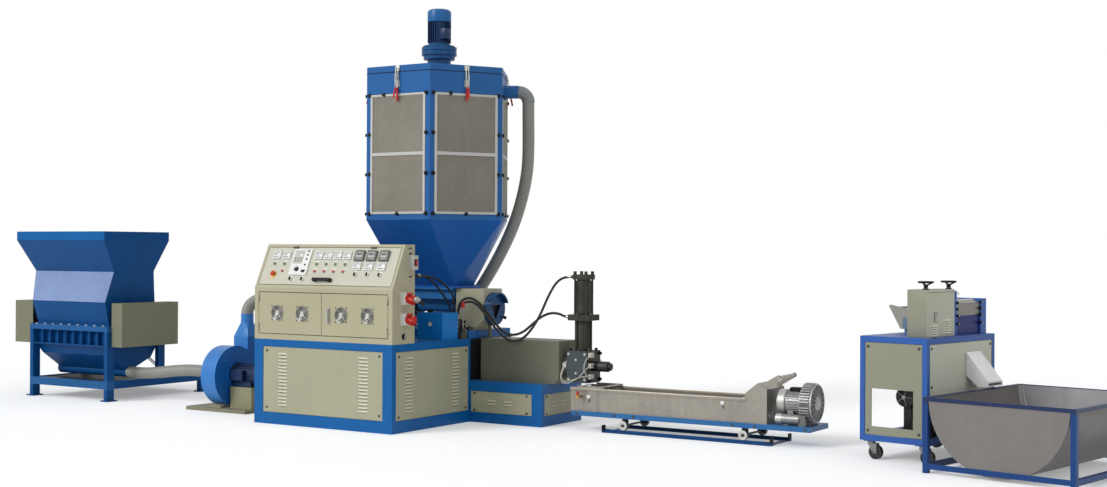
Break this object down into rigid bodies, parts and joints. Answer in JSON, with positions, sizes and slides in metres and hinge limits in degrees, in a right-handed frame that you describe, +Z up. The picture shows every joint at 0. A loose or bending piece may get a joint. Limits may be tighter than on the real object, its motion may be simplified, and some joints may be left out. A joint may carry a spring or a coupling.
{
  "type": "polystyrene recycling machine",
  "caption": "Foam recycling line: hopper crusher, conveying fan, hexagonal silo on a two-stage extruder with control desk, cooling trough on rails, strand cutter and pellet bin.",
  "frame": {"origin": "on the floor under the middle of the extruder base, the part with the control desk", "axes": "+X along the line from the crusher to the pellet bin, +Y to the rear, +Z up"},
  "size_m": [11.4965, 2.0528, 3.892],
  "materials": {
    "machine_blue": "glossy sprayed enamel, bright blue",
    "crusher_blue": "glossy sprayed enamel, deep blue",
    "panel_cream": "fine orange-peel paint, cream",
    "cover_olive": "fine orange-peel paint, olive beige",
    "steel": "brushed stainless sheet",
    "bright_steel": "ground and oiled",
    "dark_steel": "dark oiled steel",
    "motor_blue": "dark motor enamel on cast ribs",
    "mesh": "fine wire cloth in light frames",
    "hose_grey": "ribbed grey duct hose",
    "hose_black": "black rubber hose",
    "instrument": "moulded instrument cases",
    "red_grip": "red plastic grip",
    "wheel_rubber": "dark cast wheels",
    "roller_white": "white plastic roller",
    "blower_alloy": "cast alloy, ribbed"
  },
  "bodies": {
    "line": {"machine_base": "machine_blue", "base_panels": "panel_cream", "cabinet_shell": "panel_cream", "hydraulic_tank": "machine_blue", "valve_manifold": "steel", "first_extruder": "machine_blue", "first_stage_cover": "panel_cream", "end_disc": "crusher_blue", "second_stage_cover": "cover_olive", "die_block": "dark_steel", "screen_cylinder": "bright_steel", "silo_funnel": "crusher_blue", "silo_frame": "machine_blue", "mesh_panels": "mesh", "silo_lid": "machine_blue", "lid_latches": "steel", "agitator_motor": "motor_blue", "crusher_frame": "crusher_blue", "crusher_hopper": "crusher_blue", "crusher_chamber": "crusher_blue", "crusher_rotor": "dark_steel", "crusher_covers": "cover_olive", "blower_housing": "machine_blue", "blower_motor": "motor_blue", "blower_base": "panel_cream", "suction_hose": "hose_grey", "conveying_hose": "hose_grey", "pressure_hose_upper": "hose_black", "pressure_hose_lower": "hose_black", "cabinet_cable_front": "hose_black", "cabinet_cable_back": "hose_black", "trough_rails": "crusher_blue", "pelletizer_frame": "machine_blue", "rear_wheels": "wheel_rubber", "pelletizer_panels": "panel_cream", "head_box": "panel_cream", "cutter_chamber": "machine_blue", "feed_tray": "steel", "discharge_chute": "steel", "pelletizer_motor": "motor_blue", "bin_tank": "steel", "bin_frame": "machine_blue"},
    "lid": {"console_lid": "panel_cream", "console_instruments": "instrument"},
    "door_left": {"cabinet_door_left": "panel_cream"},
    "door_right": {"cabinet_door_right": "panel_cream"},
    "lever": {"valve_lever": "red_grip"},
    "screen_carrier": {"screen_slide": "bright_steel"},
    "carriage": {"carriage_frame": "machine_blue", "cooling_tank": "steel", "ring_blower": "blower_alloy"},
    "wheels_left": {"wheel_set_left": "wheel_rubber"},
    "wheels_right": {"wheel_set_right": "wheel_rubber"},
    "roller": {"strand_roller": "roller_white"},
    "handwheel_a": {"handwheel_front": "dark_steel"},
    "handwheel_b": {"handwheel_back": "dark_steel"},
    "fork_left": {"caster_fork_left": "steel"},
    "fork_right": {"caster_fork_right": "steel"},
    "wheel_left": {"caster_wheel_left": "wheel_rubber"},
    "wheel_right": {"caster_wheel_right": "wheel_rubber"}
  },
  "joints": [
    {"name": "console_lid_hinge", "type": "hinge", "parent": "line", "child": "lid", "pos_m": [0, -0.7655, 1.60651], "axis": [-1, 0, 0], "range_deg": [0, 75]},
    {"name": "door_left_hinge", "type": "hinge", "parent": "line", "child": "door_left", "pos_m": [-0.748, -0.931, 1.01], "axis": [0, 0, -1], "range_deg": [0, 100]},
    {"name": "door_right_hinge", "type": "hinge", "parent": "line", "child": "door_right", "pos_m": [0.748, -0.931, 1.01], "axis": [0, 0, 1], "range_deg": [0, 100]},
    {"name": "valve_lever_pivot", "type": "hinge", "parent": "line", "child": "lever", "pos_m": [0.78, 0.145, 0.858], "axis": [0, 1, 0], "range_deg": [-6, 20]},
    {"name": "screen_slide_travel", "type": "slide", "parent": "line", "child": "screen_carrier", "axis": [0, 0, 1], "range_m": [-0.13, 0]},
    {"name": "carriage_travel", "type": "slide", "parent": "line", "child": "carriage", "axis": [1, 0, 0], "range_m": [-0.1, 0.17]},
    {"name": "wheel_set_left_spin", "type": "hinge", "parent": "carriage", "child": "wheels_left", "pos_m": [2.425, 0.44, 0.0723], "axis": [0, 1, 0], "range_deg": [-150, 280]},
    {"name": "wheel_set_right_spin", "type": "hinge", "parent": "carriage", "child": "wheels_right", "pos_m": [3.56, 0.44, 0.0723], "axis": [0, 1, 0], "range_deg": [-150, 280]},
    {"name": "strand_roller_spin", "type": "hinge", "parent": "carriage", "child": "roller", "pos_m": [3.855, 0.44, 0.5583], "axis": [0, 1, 0], "continuous": true},
    {"name": "handwheel_front_turn", "type": "hinge", "parent": "line", "child": "handwheel_a", "pos_m": [5.16322, 0.00438, 1.366], "axis": [0, 0, 1], "continuous": true},
    {"name": "handwheel_back_turn", "type": "hinge", "parent": "line", "child": "handwheel_b", "pos_m": [5.233, 0.34735, 1.366], "axis": [0, 0, 1], "continuous": true},
    {"name": "caster_left_swivel", "type": "hinge", "parent": "line", "child": "fork_left", "pos_m": [4.73636, 0.02795, 0.136], "axis": [0, 0, 1], "continuous": true},
    {"name": "caster_right_swivel", "type": "hinge", "parent": "line", "child": "fork_right", "pos_m": [5.16948, -0.06017, 0.136], "axis": [0, 0, 1], "continuous": true},
    {"name": "caster_left_roll", "type": "hinge", "parent": "fork_left", "child": "wheel_left", "pos_m": [4.77359, 0.02038, 0.055], "axis": [0.1994, 0.9799, 0], "continuous": true},
    {"name": "caster_right_roll", "type": "hinge", "parent": "fork_right", "child": "wheel_right", "pos_m": [5.20672, -0.06774, 0.055], "axis": [0.1994, 0.9799, 0], "continuous": true}
  ],
  "couplings": [
    {"joint": "wheel_set_left_spin", "follows": "carriage_travel", "rad_per_m": 23.809},
    {"joint": "wheel_set_right_spin", "follows": "carriage_travel", "rad_per_m": 23.809}
  ]
}
